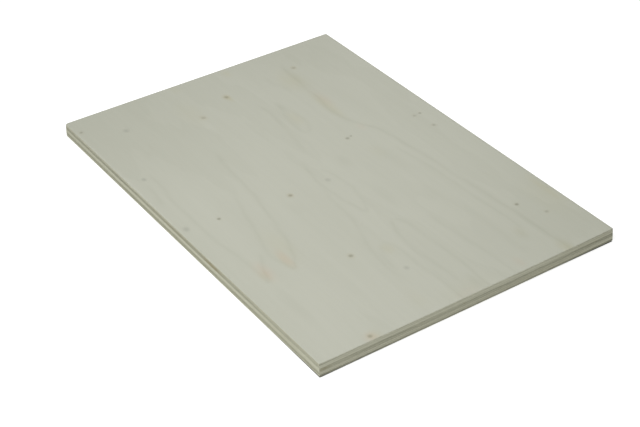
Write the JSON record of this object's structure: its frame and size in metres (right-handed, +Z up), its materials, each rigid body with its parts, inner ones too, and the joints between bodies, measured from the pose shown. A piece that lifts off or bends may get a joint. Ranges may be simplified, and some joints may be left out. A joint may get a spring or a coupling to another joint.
{
  "type": "plywood sheet",
  "caption": "Flat rectangular plywood sheet of cross-banded veneers, bare and sanded, with the veneers showing at the sawn edges; stock for panels, shelves and boxes.",
  "frame": {"origin": "middle of the underside", "axes": "+X along the long side and the face grain, +Y along the short side, +Z up, out of the face veneer"},
  "size_m": [0.6, 0.4, 0.018],
  "materials": {
    "face_wood": "bare, sanded, matt; pale grey cream with a low-contrast flame figure and a few small knots",
    "crossband_wood": "bare, sawn, matt; grain across the sheet",
    "core_wood": "bare, sawn, matt; grain along the sheet"
  },
  "bodies": {
    "root": {"back_veneer": "face_wood", "lower_crossband": "crossband_wood", "core_veneer": "core_wood", "upper_crossband": "crossband_wood", "face_veneer": "face_wood"}
  },
  "joints": []
}
